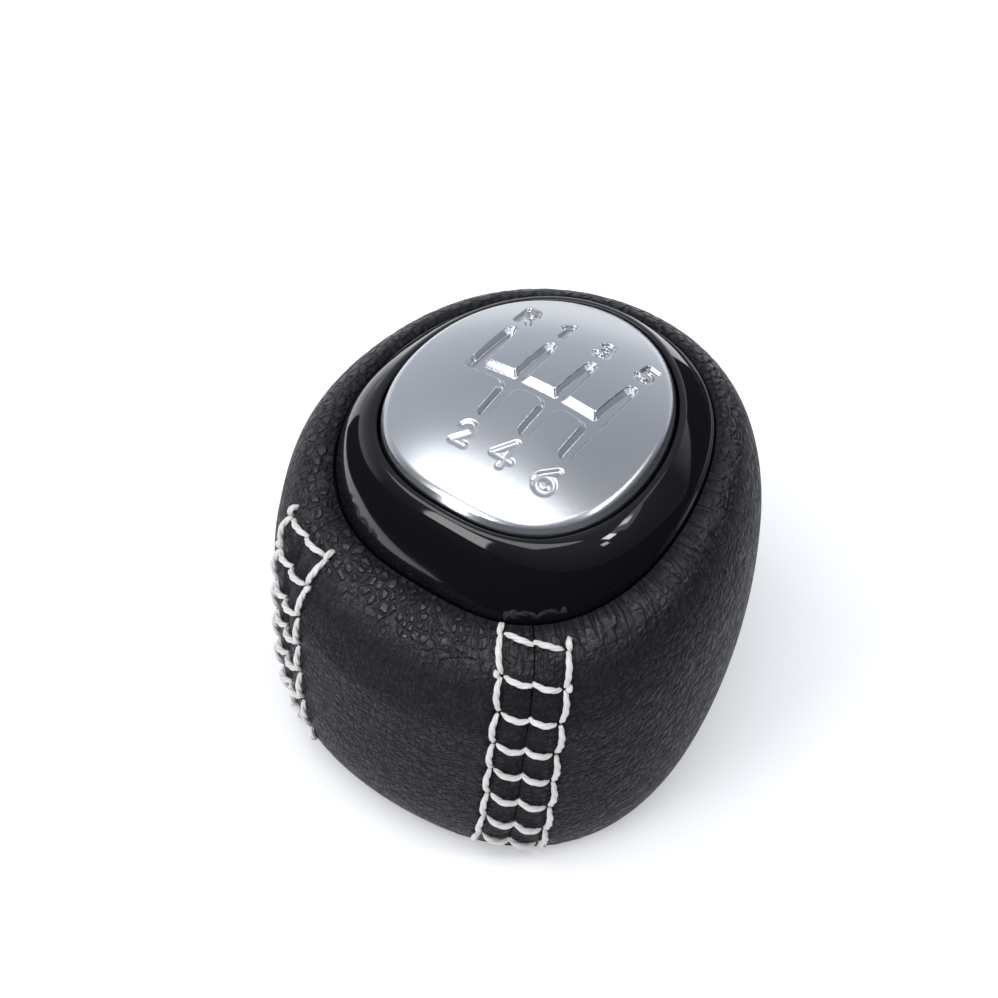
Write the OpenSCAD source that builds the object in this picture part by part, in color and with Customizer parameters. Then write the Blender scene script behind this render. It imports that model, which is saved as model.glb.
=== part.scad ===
// Leather-covered gear shift knob: domed shift plate, gloss bezel and two ladder-stitched seams.
// +Y points to the front of the car, the driver sits on the -Y side, and Z is the gear lever's axis.

/* [Head outline] */
// Foot of the leather, lever axis to its front edge
base_front = 23.5; // [22:0.1:25]
// Foot of the leather, lever axis to its rear edge
base_rear = 20.4; // [19:0.1:22]
// Foot of the leather, lever axis to its side edge
base_side = 22; // [21:0.1:23]
// Widest level, lever axis to the front
belly_front = 33.3; // [32:0.1:35]
// Widest level, lever axis to the rear
belly_rear = 23.6; // [23:0.1:26]
// Widest level, lever axis to the side
belly_side = 26.6; // [26:0.1:29]
// Height of the widest level above the foot of the leather
belly_z = 26.3; // [24.5:0.1:28]
// Top edge of the leather, lever axis to the front
neck_front = 27.1; // [26.5:0.1:28]
// Top edge of the leather, lever axis to the rear
neck_rear = 15.3; // [14.8:0.1:16]
// Top edge of the leather, lever axis to the side
neck_side = 20.7; // [20.3:0.1:22]
// Height of the leather's top edge above the foot of the leather
neck_z = 39.2; // [38:0.1:40]
// How much the outline narrows towards the driver
egg_point = 1.1; // [0.6:0.05:1.3]
// Slope of the roof, a rise per unit towards the front
roof_slope = 0.22; // [0.18:0.01:0.27]
// Crown of the roof, a fall per unit squared towards both ends
roof_crown = 0.007; // [0.005:0.0005:0.009]

/* [Leather and seams] */
// Thickness of the leather
leather_t = 1.2; // [1:0.1:1.4]
// How far the leather turns in under the core
turn_in = 4; // [3:0.5:4.5]
// Depth of the leather tucked in beside the bezel
tuck_d = 2.2; // [1.6:0.1:2.4]
// Angle of a seam from the rear, at the top
seam_top_angle = 45.2; // [42:0.1:46]
// Angle of a seam from the rear, at the foot
seam_foot_angle = 37.4; // [34:0.1:38]
// Gap between the two panels at a seam
seam_gap = 0.3; // [0.2:0.05:0.5]
// How deep the leather draws in at a seam
seam_dip = 0.45; // [0.2:0.05:0.6]
// Width of a stitch ladder, rail to rail
ladder_w = 7.4; // [7:0.1:8]
// Distance from one rung to the next
stitch_pitch = 4.8; // [4.4:0.05:5]
// Thickness of the waxed thread
thread_d = 0.9; // [0.7:0.05:1.1]
// How much lower a rung ends at the outer rail than at the inner one
rung_slant = 2.3; // [2:0.1:3]
// First stitch hole below the bezel on the inner rail of the right seam
right_first = 1.1; // [0.9:0.1:1.6]
// First stitch hole below the bezel on the inner rail of the left seam
left_first = 4; // [3:0.1:4.4]
// Rungs in the right ladder
right_rungs = 8; // [6:1:8]
// Rungs in the left ladder
left_rungs = 7; // [6:1:7]

/* [Bezel] */
// Wall of the bezel
bezel_wall = 1.6; // [1.3:0.1:1.8]
// Depth of the bezel's skirt below the leather's top edge
skirt_d = 3; // [2.6:0.1:3.4]
// Width of the bezel's inner lip
lip_w = 0.6; // [0.4:0.1:0.8]
// How full the bezel's band bulges between lip and leather
bezel_bulge = 0.72; // [0.6:0.02:0.8]

/* [Shift plate] */
// Shift plate, lever axis to its front edge
plate_front = 21.9; // [21:0.1:22.2]
// Shift plate, lever axis to its rear edge
plate_rear = 11.4; // [10.8:0.1:11.5]
// Shift plate, lever axis to its side edge
plate_side = 15.45; // [15:0.05:16]
// How much the plate narrows towards the driver
plate_point = 0.7; // [0.4:0.05:0.9]
// Height of the plate's rim above the ground
plate_z = 46.5; // [46:0.1:47]
// Slope of the plate towards the front
plate_slope = 0.02; // [0.01:0.01:0.05]
// Width of the plate's rolled rim
rim_w = 1.2; // [0.9:0.1:1.5]
// Height of the dome's top above the plate's rim
dome_h = 4; // [3.8:0.05:4.4]
// Crown radius of the dome across the car
dome_r_across = 44; // [42:1:50]
// Crown radius of the dome along the car
dome_r_along = 40; // [39:0.5:60]
// Highest point of the dome, from the lever axis
dome_mid = 4.2; // [3.6:0.1:4.8]
// Edge thickness of the plate below its rim
plate_t = 1.6; // [1.4:0.1:1.8]
// Thickness of the adhesive pad under the plate
pad_t = 0.6; // [0.4:0.1:0.8]

/* [Shift pattern] */
// Distance between two gate columns
column_w = 5.35; // [5:0.05:5.6]
// Width of a gate slot
slot_w = 1.8; // [1.6:0.1:2.2]
// Width of the cross channel
channel_w = 2.1; // [1.8:0.1:2.4]
// Depth of the gate in the plate
gate_depth = 1; // [0.8:0.1:1.2]
// Front end of the upper slots, lever axis to the last round's centre
gate_front = 11.7; // [11.4:0.1:12.4]
// Middle of the cross channel, from the lever axis
gate_mid = 5.3; // [5:0.1:5.6]
// Rear end of the lower slots, from the lever axis
gate_rear = -0.2; // [-0.8:0.1:0.2]

/* [Lever fixing] */
// Radius of the lever bore
bore_r = 6; // [5:0.5:6.5]
// Wall of the lever sleeve
sleeve_wall = 2.2; // [2:0.1:2.6]
// Length of the lever sleeve
sleeve_len = 30; // [26:1:32]
// Depth of the retaining ring's groove from the sleeve's mouth
ring_z = 24; // [20:0.5:25]
// Solid end of the lever sleeve
sleeve_end = 2; // [1.5:0.1:3]
// Wall of the rubber damper round the sleeve
damper_wall = 1.8; // [1.4:0.1:2]
// Thickness of the retaining ring's wire
ring_wire = 1.2; // [1:0.1:1.4]

/* [Base] */
// Height of the base ring's lip below the leather
lip_h = 1.2; // [1:0.1:1.5]
// Step back of the base ring's edge from the leather's foot
lip_inset = 0.8; // [0.5:0.1:1.2]
// Thickness of the base ring's hub
hub_h = 3.4; // [3:0.1:4]
// Wall of the base ring's hub
hub_wall = 4.6; // [4.4:0.1:4.8]
// Radius of a base screw's shank
screw_r = 1.1; // [1:0.05:1.25]
// Length of a base screw's shank
screw_len = 8; // [6:0.5:10]
// Base screws
screw_count = 3; // [3:1:4]

/* [Hidden] */
glue = 0.2;             // film between leather and core
seat = 0.1;             // clearance between two hard pieces
plate_gap = 0.45;       // dark gap round the shift plate
lip_drop = 0.3;         // bezel lip below the plate's rim
lip_d = 1.8;            // depth of the bezel's inner lip
lip_chamfer = 0.3;      // broken edges of that lip
base_run = 3.3;         // handle of the flank curve at the foot, outwards
base_rise = 5.5;        // the same, upwards
flank_pull = 16.9;      // handle of the flank curve below the widest level
shoulder_pull = 4.4;    // handle of the shoulder curve above the widest level
roll_run = 4.7;         // handle of the shoulder curve at the leather's top edge, outwards
roll_lift = 0.8;        // the same, upwards
sleeve_r = bore_r + sleeve_wall;
pocket_r = sleeve_r + damper_wall;
sleeve_top = sleeve_len + sleeve_end;
pocket_top = sleeve_top + damper_wall;
hub_in_r = pocket_r + seat;
hub_out_r = hub_in_r + hub_wall;
screw_circle_r = (hub_in_r + hub_out_r) / 2;
screw_head_r = 1.75 * screw_r;
screw_head_h = screw_r;
head_sink = 0.3;         // screw heads and rubber below the base ring's face
thread_lift = 0.08;      // thread above the leather
ring_steps = 48;
front_steps = 28;
rear_steps = 10;
thread_sides = 6;
thread_steps = 3;
flank_rows = [for (i = [1:8]) i / 8];
shoulder_rows = [for (i = [1:5]) 1 + i / 7];
roll_row = 1 + 6 / 7;
$fn = 64;

// An egg-shaped outline: distance from the lever axis at angle a, counted from the front.
function egg(a, front, rear, side, point) =
    let (long = (front + rear) / 2)
    (long + side) / 2
        + ((front - rear) / 2 - point) * cos(a)
        + (long - side) / 2 * cos(2 * a)
        + point * cos(3 * a);

function base_r(a) = egg(a, base_front, base_rear, base_side, egg_point);
function belly_r(a) = egg(a, belly_front, belly_rear, belly_side, egg_point);
function neck_r(a) = egg(a, neck_front, neck_rear, neck_side, egg_point);
function plate_r(a) = egg(a, plate_front, plate_rear, plate_side, plate_point);
function at(a, r, z) = [r * sin(a), r * cos(a), z];
function curve(p, t) =
    p[0] * pow(1 - t, 3) + 3 * p[1] * pow(1 - t, 2) * t + 3 * p[2] * (1 - t) * t * t + p[3] * pow(t, 3);

// The head's skin: v runs from 0 at the foot through 1 at the widest level to 2 at the bezel.
function skin_r(a, v) = v <= 1
    ? curve([base_r(a), base_r(a) + base_run, belly_r(a), belly_r(a)], v)
    : curve([belly_r(a), belly_r(a), neck_r(a) + roll_run, neck_r(a)], v - 1);
function skin_z(v) = v <= 1
    ? curve([0, base_rise, belly_z - flank_pull, belly_z], v)
    : curve([belly_z, belly_z + shoulder_pull, neck_z + roll_lift, neck_z], v - 1);
function roof(y, z) = (roof_slope * y - roof_crown * y * y) * pow(z / neck_z, 2);
function skin(a, v) =
    let (r = skin_r(a, v), z = skin_z(v))
    at(a, r, lip_h + z + roof(r * cos(a), z));
function skin_normal(a, v) =
    let (n = cross(skin(a, v + 0.01) - skin(a, v - 0.01), skin(a + 1, v) - skin(a - 1, v)))
    n / norm(n);
function skin_off(a, v, d) = skin(a, v) + d * skin_normal(a, v);
function neck_h(a) = skin(a, 2)[2];
function plate_level(y) = plate_z + plate_slope * y;
function rim_z(a) = plate_level(plate_r(a) * cos(a));
function on_plate(a, inset, drop) =
    let (r = plate_r(a) - inset)
    at(a, r, plate_level(r * cos(a)) - drop);
function dome_z(x, y) =
    plate_level(y) + dome_h
        - x * x / (2 * dome_r_across) - pow(y - dome_mid, 2) / (2 * dome_r_along);

function angles(n) = [for (i = [0:n - 1]) 360 * i / n];

// Triangles between stacked loops of n points.
function wall_faces(n, rows, wrap = false) = [
    for (j = [0:rows - (wrap ? 1 : 2)], i = [0:n - 1])
    let (
        here = j * n,
        above = ((j + 1) % rows) * n,
        next = (i + 1) % n
    )
    each [[here + i, here + next, above + next], [here + i, above + next, above + i]]
];

// A closed solid through stacked loops, with a fan at each end.
module loft(loops) {
    n = len(loops[0]);
    rows = len(loops);
    low = [for (k = [0:2]) [for (p = loops[0]) p[k]] * [for (p = loops[0]) 1 / n]];
    high = [for (k = [0:2]) [for (p = loops[rows - 1]) p[k]] * [for (p = loops[0]) 1 / n]];
    polyhedron(
        points = concat([for (l = loops) each l], [low, high]),
        faces = concat(
            wall_faces(n, rows),
            [for (i = [0:n - 1]) [(i + 1) % n, i, n * rows]],
            [for (i = [0:n - 1]) [n * (rows - 1) + i, n * (rows - 1) + (i + 1) % n, n * rows + 1]]
        )
    );
}

// A closed ring whose section is given at each angle.
module ring_loft(sections) {
    polyhedron(
        points = [for (s = sections) each s],
        faces = wall_faces(len(sections[0]), len(sections), true)
    );
}

// A closed sheet: each row is a line of show-side points followed by the same line of back points.
module sheet(rows) {
    n = len(rows[0]);
    h = n / 2;
    last = (len(rows) - 1) * n;
    polyhedron(
        points = [for (r = rows) each r],
        faces = concat(
            wall_faces(n, len(rows)),
            [for (i = [0:h - 2])
                let (a = i, b = n - 1 - i)
                each [[a + 1, a, b], [a + 1, b, b - 1]]],
            [for (i = [0:h - 2])
                let (a = last + i, b = last + n - 1 - i)
                each [[a, a + 1, b - 1], [a, b - 1, b]]]
        )
    );
}

// Seams

function seam_angle(v) = 180 - seam_top_angle + (seam_top_angle - seam_foot_angle) * (1 - v / 2);
function turn(v) = 180 / PI / skin_r(seam_angle(v), v);     // degrees for one millimetre round the head

// Stations across a panel from angle a to angle b, drawn close together at both seams.
function stations(a, b, n, v) =
    let (edge = turn(v) * seam_gap / 2, near = [0, 0.7, 1.8])
    concat(
        [for (m = near) a + edge + turn(v) * m],
        [for (i = [1:n - 1]) a + (b - a) * i / n],
        [for (m = [2:-1:0]) b - edge - turn(v) * near[m]]
    );
function dip(a, v) =
    let (mm = (abs(a) - seam_angle(v)) / turn(v))
    seam_dip * exp(-mm * mm / 0.9);
function fold(a) = a > 180 ? a - 360 : a;

// One leather panel, turned in under the core, drawn over it and tucked in beside the bezel.
module leather_panel(side, n) {
    rows = concat([-1, 0], flank_rows, shoulder_rows, [roll_row, 2, 3]);
    sheet([
        for (v = rows)
        let (
            w = min(max(v, 0), 2),
            list = side == "rear"
                ? stations(seam_angle(w), 360 - seam_angle(w), n, w)
                : stations(-seam_angle(w), seam_angle(w), n, w)
        )
        concat(
            [for (a = list) show_side(a, v)],
            [for (i = [len(list) - 1:-1:0]) back_side(list[i], v)]
        )
    ]);
}
function show_side(a, v) =
    v < 0 ? at(a, base_r(a) - turn_in, lip_h)
    : v > 2 ? at(a, neck_r(a), neck_h(a) - tuck_d)
    : skin_off(a, v, -dip(fold(a), v) * min(1, 4 * v, 4 * (2 - v)));
function tuck_corner(a, d) = at(a, neck_r(a) + d, neck_h(a) - d);
function back_side(a, v) =
    v < 0 ? at(a, base_r(a) - turn_in, lip_h + leather_t)
    : v > 2 ? at(a, neck_r(a) + leather_t, neck_h(a) - tuck_d)
    : v == 0 ? at(a, base_r(a) - 0.8 * leather_t, lip_h + leather_t)
    : v == 2 ? tuck_corner(a, leather_t)
    : v == roll_row ? (tuck_corner(a, leather_t) + skin_off(a, shoulder_rows[4], -leather_t)) / 2
    : skin_off(a, v, -leather_t);

// Thread

// How far down the seam each level lies, for finding the stitch holes.
function on_seam(v) = skin(seam_angle(v), v);
seam_table = [
    for (i = 0, s = 0; i <= 60;
        s = s + norm(on_seam(2 - i / 30) - on_seam(2 - (i + 1) / 30)),
        i = i + 1)
    [s, 2 - i / 30]
];
function level(s) = lookup(s, seam_table);
// A place on a ladder: s down the seam, w across it towards the outer rail.
function place(s, w, h) =
    let (v = level(s), a = seam_angle(v) - turn(v) * w)
    skin_off(a, v, h);

// One stitch, a short thread that rises from the leather and sinks again.
module stitch(s0, w0, s1, w1) {
    mid = [place(s0, w0, 0), place(s1, w1, 0)];
    along = (mid[1] - mid[0]) / norm(mid[1] - mid[0]);
    loft([
        for (k = [0:thread_steps])
        let (
            t = k / thread_steps,
            swell = sqrt(sin(15 + 150 * t)),
            r = thread_d / 2 * swell,
            p = place(s0 + (s1 - s0) * t, w0 + (w1 - w0) * t, r + thread_lift),
            out = skin_normal(seam_angle(level(s0)), level(s0)),
            across = cross(along, out) / norm(cross(along, out)),
            up = cross(across, along)
        )
        [for (i = [0:thread_sides - 1])
            let (c = -360 * i / thread_sides)
            p + r * (across * cos(c) + up * sin(c))]
    ]);
}

module seam_thread(first, rungs) {
    half = ladder_w / 2;
    bite = thread_d / 2;
    for (k = [0:rungs - 1]) {
        inner = first + stitch_pitch * k;
        outer = inner + rung_slant;
        middle = inner + rung_slant / 2;
        nick = bite * rung_slant / ladder_w;
        stitch(inner + nick, bite - half, middle - nick, -bite);
        stitch(middle + nick, bite, outer - nick, half - bite);
        if (k < rungs - 1) {
            stitch(inner + bite, -half, inner + stitch_pitch - bite, -half);
            stitch(outer + bite, half, outer + stitch_pitch - bite, half);
        }
    }
}

// Hard pieces

module core() {
    cover = leather_t + glue;
    groove_in = glue + bezel_wall + seat;
    groove_d = skirt_d + seat;
    all_round = angles(ring_steps);
    color("#2f2f31")
    difference() {
        loft(concat(
            [
                [for (a = all_round) at(a, base_r(a) - turn_in - glue, lip_h)],
                [for (a = all_round) at(a, base_r(a) - turn_in - glue, lip_h + cover)],
                [for (a = all_round) at(a, base_r(a) - leather_t, lip_h + cover)]
            ],
            [for (v = concat(flank_rows, shoulder_rows)) [for (a = all_round) skin_off(a, v, -cover)]],
            [
                [for (a = all_round) at(a, neck_r(a) + cover, neck_h(a) - cover - 1.5 * glue)],
                [for (a = all_round) at(a, neck_r(a) + cover, neck_h(a) - groove_d)],
                [for (a = all_round) at(a, neck_r(a) - groove_in, neck_h(a) - groove_d)],
                [for (a = all_round) at(a, neck_r(a) - groove_in, neck_h(a) - bezel_wall)],
                [for (a = all_round) at(a, plate_r(a) - seat, neck_h(a) - bezel_wall)],
                [for (a = all_round) on_plate(a, seat, plate_t + pad_t)]
            ]
        ));
        translate([0, 0, -1])
            cylinder(r = pocket_r + seat / 2, h = pocket_top + 1);
        translate([0, 0, -1])
            cylinder(r = hub_out_r + seat, h = hub_h + 1);
        screw_places()
            cylinder(r = screw_r + seat / 4, h = screw_len + 2);
    }
}

module bezel() {
    color("#0c0b0d")
    ring_loft([
        for (a = angles(ring_steps))
        let (
            out = neck_r(a) - glue,
            low = neck_h(a) - skirt_d,
            joint = neck_h(a),
            in = plate_r(a) + plate_gap,
            top = rim_z(a) - lip_drop,
            knee = in + lip_w + bezel_bulge * (out - in - lip_w)
        )
        [for (p = concat(
            [[out, low], [out - bezel_wall, low], [out - bezel_wall, joint]],
            [[in + lip_chamfer, top - lip_d - lip_chamfer], [in, top - lip_d]],
            [[in, top - lip_chamfer], [in + lip_chamfer, top], [in + lip_w, top]],
            [for (t = [0.2:0.2:0.8])
                let (q = 1 - t)
                [q * q * (in + lip_w) + 2 * q * t * knee + t * t * out,
                    q * q * top + 2 * q * t * (top - 0.1 * (top - joint)) + t * t * joint]],
            [[out, joint]]))
        at(a, p[0], p[1])]
    ]);
}

module plate_pad() {
    color("#1c1c1e")
    loft([
        for (drop = [plate_t + pad_t, plate_t])
        [for (a = angles(ring_steps)) on_plate(a, 1, drop)]
    ]);
}

module dome_block(sink) {
    shares = [1, 0.75, 0.5, 0.25];
    loft(concat(
        [[for (a = angles(ring_steps)) on_plate(a, 0, plate_t)]],
        sink > 0 ? [] : [[for (a = angles(ring_steps)) on_plate(a, 0, 0)]],
        sink > 0 ? [] : [for (turned = [30, 60]) [
            for (a = angles(ring_steps))
            let (
                r = plate_r(a) - rim_w,
                top = dome_z(r * sin(a), r * cos(a))
            )
            at(a, r + rim_w * cos(turned), rim_z(a) + (top - rim_z(a)) * sin(turned))
        ]],
        [for (share = shares) [
            for (a = angles(ring_steps))
            let (r = (plate_r(a) - rim_w) * share, m = (1 - share) * dome_mid)
            [r * sin(a), r * cos(a) + m, dome_z(r * sin(a), r * cos(a) + m) - sink]
        ]]
    ));
}

// The H pattern seen from above: four slots forward, three back and the channel that joins them.
module gate_outline() {
    columns = [-1.5, -0.5, 0.5, 1.5] * column_w;
    for (i = [0:3]) {
        back = i == 0 ? gate_mid : gate_rear;
        translate([columns[i] - slot_w / 2, back])
            square([slot_w, gate_front - back]);
        translate([columns[i], gate_front])
            circle(d = slot_w);
        translate([columns[i], back])
            circle(d = slot_w);
    }
    translate([columns[0], gate_mid - channel_w / 2])
        square([columns[3] - columns[0], channel_w]);
}

module shift_plate() {
    color("#b9bcc2")
    difference() {
        dome_block(0);
        difference() {
            translate([0, 0, plate_z])
                linear_extrude(2 * dome_h)
                    gate_outline();
            dome_block(gate_depth);
        }
    }
}

module screw_places() {
    for (i = [0:screw_count - 1])
        rotate([0, 0, 90 + 360 * i / screw_count])
            translate([screw_circle_r, 0, head_sink])
                children();
}

module base_ring() {
    color("#111113")
    difference() {
        union() {
            linear_extrude(lip_h - seat / 4)
                polygon([for (a = angles(ring_steps)) [sin(a), cos(a)] * (base_r(a) - lip_inset)]);
            cylinder(r = hub_out_r, h = hub_h - seat / 4);
        }
        translate([0, 0, -1])
            cylinder(r = hub_in_r, h = hub_h + 2);
        screw_places()
            cylinder(r = screw_r + seat, h = hub_h + 1);
        screw_places()
            translate([0, 0, -1])
                cylinder(r = screw_head_r + seat, h = screw_head_h + 1 + seat / 4);
    }
}

module base_screws() {
    color("#8d9094")
    screw_places() {
        difference() {
            cylinder(r = screw_head_r, h = screw_head_h);
            translate([0, 0, -0.1])
                cylinder(r = screw_head_r / 2, h = screw_head_h / 2 + 0.1, $fn = 6);
        }
        translate([0, 0, screw_head_h])
            cylinder(r = screw_r, h = screw_len - screw_head_h);
    }
}

module lever_sleeve() {
    groove_top = ring_z + ring_wire + 2 * seat;
    groove_r = bore_r + ring_wire;
    color("#c3c5c9")
    rotate_extrude()
        polygon([
            [bore_r, 0], [bore_r, ring_z], [groove_r, ring_z], [groove_r, groove_top], [bore_r, groove_top],
            [bore_r, sleeve_len], [0, sleeve_len], [0, sleeve_top], [sleeve_r, sleeve_top], [sleeve_r, 0]
        ]);
}

module retaining_ring() {
    gap_angle = 30;
    color("#7c7f84")
    rotate([0, 0, 90 + gap_angle / 2])
        rotate_extrude(angle = 360 - gap_angle)
            translate([bore_r + seat / 2, ring_z + seat])
                square([ring_wire - seat, ring_wire]);
}

module damper_sleeve() {
    color("#1a1a1b")
    difference() {
        translate([0, 0, head_sink])
            cylinder(r = pocket_r, h = pocket_top - seat - head_sink);
        translate([0, 0, head_sink - 1])
            cylinder(r = sleeve_r + seat / 4, h = sleeve_top + seat + 1 - head_sink);
    }
}

module rear_leather_panel() {
    color("#2b292c")
    leather_panel("rear", rear_steps);
}

module front_leather_panel() {
    color("#2b292c")
    leather_panel("front", front_steps);
}

module right_seam_thread() {
    color("#d8d4d2")
    seam_thread(right_first, right_rungs);
}

module left_seam_thread() {
    color("#d8d4d2")
    mirror([1, 0, 0])
        seam_thread(left_first, left_rungs);
}

shift_plate();
plate_pad();
bezel();
rear_leather_panel();
front_leather_panel();
right_seam_thread();
left_seam_thread();
core();
damper_sleeve();
lever_sleeve();
retaining_ring();
base_ring();
base_screws();
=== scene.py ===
# Leather gear shift knob: satin shift plate, piano black bezel, two panels of leather and two ladder seams.
# +Y is the front of the car and Z is the lever's axis. The dictionaries hold millimetres, as the CAD does;
# only the studio's holds metres.
import math
import random
import bpy
import numpy as np
from mathutils import Matrix, Vector, noise


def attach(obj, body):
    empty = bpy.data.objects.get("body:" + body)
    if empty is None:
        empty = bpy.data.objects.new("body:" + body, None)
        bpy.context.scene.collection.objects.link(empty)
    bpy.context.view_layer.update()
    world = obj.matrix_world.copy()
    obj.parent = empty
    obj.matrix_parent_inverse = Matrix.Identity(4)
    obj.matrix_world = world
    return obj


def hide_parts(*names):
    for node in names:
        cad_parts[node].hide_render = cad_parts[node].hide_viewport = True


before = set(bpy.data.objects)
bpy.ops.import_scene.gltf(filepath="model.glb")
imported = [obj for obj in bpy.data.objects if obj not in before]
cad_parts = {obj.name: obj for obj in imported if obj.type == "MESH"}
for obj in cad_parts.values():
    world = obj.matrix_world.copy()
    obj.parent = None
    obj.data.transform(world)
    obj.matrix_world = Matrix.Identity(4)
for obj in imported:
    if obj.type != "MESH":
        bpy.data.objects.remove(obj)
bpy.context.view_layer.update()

mm = 0.001
chance = random.Random(7)
print("frame loaded,", len(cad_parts), "nodes")


# Small helpers

def linear(hexColour):
    shares = [int(hexColour[i:i + 2], 16) / 255 for i in (1, 3, 5)]
    return tuple(c / 12.92 if c <= 0.04045 else ((c + 0.055) / 1.055) ** 2.4 for c in shares) + (1.0,)


def addNode(tree, kind, settings=None, links=None):
    node = tree.nodes.new("ShaderNode" + kind)
    for key, value in (settings or {}).items():
        if isinstance(key, int) or key in node.inputs:
            node.inputs[key].default_value = value
        else:
            setattr(node, key, value)
    for key, source in (links or {}).items():
        tree.links.new(source, node.inputs[key])
    return node


def newMaterial(name, colour, roughness, metallic=0.0, **sockets):
    material = bpy.data.materials.new(name)
    material.use_nodes = True
    tree = material.node_tree
    tree.nodes.clear()
    settings = {"Base Color": linear(colour), "Roughness": roughness, "Metallic": metallic}
    settings.update({key.replace("_", " "): value for key, value in sockets.items()})
    shader = addNode(tree, "BsdfPrincipled", settings)
    output = addNode(tree, "OutputMaterial")
    tree.links.new(shader.outputs[0], output.inputs["Surface"])
    return material, tree, shader


def makePiece(name, points, faces, material, node):
    mesh = bpy.data.meshes.new(name)
    mesh.from_pydata((np.asarray(points) * mm).tolist(), [], faces)
    mesh.validate()
    mesh.materials.append(material)
    mesh.shade_smooth()
    piece = bpy.data.objects.new(name, mesh)
    bpy.context.scene.collection.objects.link(piece)
    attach(piece, "root")
    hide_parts(node)
    return piece


def gridFaces(rows, columns, start=0, wrapRows=False, wrapColumns=False):
    faces = []
    for j in range(rows if wrapRows else rows - 1):
        for i in range(columns if wrapColumns else columns - 1):
            low, high = j * columns, (j + 1) % rows * columns
            after = (i + 1) % columns
            faces.append((start + low + i, start + low + after, start + high + after, start + high + i))
    return faces


def smoothStep(low, high, x):
    t = np.clip((x - low) / (high - low), 0, 1)
    return t * t * (3 - 2 * t)


# The head's form, repeated from the CAD

head = {
    "baseFront": 23.5, "baseRear": 20.4, "baseSide": 22.0,
    "bellyFront": 33.3, "bellyRear": 23.6, "bellySide": 26.6, "bellyZ": 26.3,
    "neckFront": 27.1, "neckRear": 15.3, "neckSide": 20.7, "neckZ": 39.2,
    "eggPoint": 1.1, "roofSlope": 0.22, "roofCrown": 0.007,
    "baseRun": 3.3, "baseRise": 5.5, "flankPull": 16.9,
    "shoulderPull": 4.4, "rollRun": 4.7, "rollLift": 0.8, "lipHeight": 1.2,
    "padding": 0.5, "padOut": 0.75, "padLevels": (1.2, 1.62, 2.0), "padSide": (-0.45, 0.35),
}
seam = {
    "topAngle": 45.2, "footAngle": 37.4, "ladderWidth": 7.4, "pitch": 4.8, "slant": 2.3,
    "rightFirst": 1.1, "leftFirst": 4.0, "rightRungs": 8, "leftRungs": 7, "steps": 241,
}


def egg(a, front, rear, side, point):
    half = (front + rear) / 2
    return ((half + side) / 2 + ((front - rear) / 2 - point) * np.cos(a)
            + (half - side) / 2 * np.cos(2 * a) + point * np.cos(3 * a))


def curve(p, t):
    return p[0] * (1 - t) ** 3 + 3 * p[1] * (1 - t) ** 2 * t + 3 * p[2] * (1 - t) * t * t + p[3] * t ** 3


def at(a, r, z):
    return np.stack(np.broadcast_arrays(r * np.sin(a), r * np.cos(a), z), -1)


def baseR(a):
    return egg(a, head["baseFront"], head["baseRear"], head["baseSide"], head["eggPoint"])


def bellyR(a):
    return egg(a, head["bellyFront"], head["bellyRear"], head["bellySide"], head["eggPoint"])


def neckR(a):
    return egg(a, head["neckFront"], head["neckRear"], head["neckSide"], head["eggPoint"])


def skinR(a, v):
    base, belly, neck = baseR(a), bellyR(a), neckR(a)
    flank = curve([base, base + head["baseRun"], belly, belly], np.minimum(v, 1))
    shoulder = curve([belly, belly, neck + head["rollRun"], neck], np.maximum(v, 1) - 1)
    return np.where(v <= 1, flank, shoulder)


def skinZ(v):
    belly, neck = head["bellyZ"], head["neckZ"]
    flank = curve([0, head["baseRise"], belly - head["flankPull"], belly], np.minimum(v, 1))
    shoulder = curve([belly, belly + head["shoulderPull"], neck + head["rollLift"], neck],
                     np.maximum(v, 1) - 1)
    return np.where(v <= 1, flank, shoulder)


# The angle a turns from the front to the right; v climbs from the foot, 0, by the belly, 1, to the bezel, 2.
def skin(a, v):
    r, z = skinR(a, v), skinZ(v)
    y = r * np.cos(a)
    roof = (head["roofSlope"] * y - head["roofCrown"] * y * y) * (z / head["neckZ"]) ** 2
    low, middle, high = head["padLevels"]       # the roll is padded on the driver's side
    crest = smoothStep(high, middle, v) * smoothStep(low, middle, v)
    pad = head["padding"] * (crest * smoothStep(*head["padSide"], -np.cos(a)))
    return at(a, r + head["padOut"] * pad, head["lipHeight"] + z + roof + pad)


def skinNormal(a, v):
    aside, below = 0.01, 0.005
    n = np.cross(skin(a + aside, v) - skin(a - aside, v), skin(a, v - below) - skin(a, v + below))
    return n / np.linalg.norm(n, axis=-1, keepdims=True)


def neckH(a):
    return skin(a, np.full_like(a, 2.0))[..., 2]


def seamAngle(v):
    top, foot = math.radians(seam["topAngle"]), math.radians(seam["footAngle"])
    return math.pi - top + (top - foot) * (1 - v / 2)


seamLevels = np.linspace(2, 0, seam["steps"])
seamPath = skin(seamAngle(seamLevels), seamLevels)
seamLengths = np.concatenate([[0], np.cumsum(np.linalg.norm(np.diff(seamPath, axis=0), axis=1))])


def levelAt(s):                 # s is the length down the seam from the bezel
    return np.interp(s, seamLengths, seamLevels)


def downAt(v):
    return np.interp(-v, -seamLevels, seamLengths)


def acrossAt(a, v):             # millimetres from the seam, towards the front
    return (seamAngle(v) - np.abs(a)) * skinR(seamAngle(v), v)


def holes(first, rungs):        # down the seam and across it
    half = seam["ladderWidth"] / 2
    for k in range(rungs):
        yield first + seam["pitch"] * k, -half
        yield first + seam["pitch"] * k + seam["slant"], half


# Materials

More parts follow.
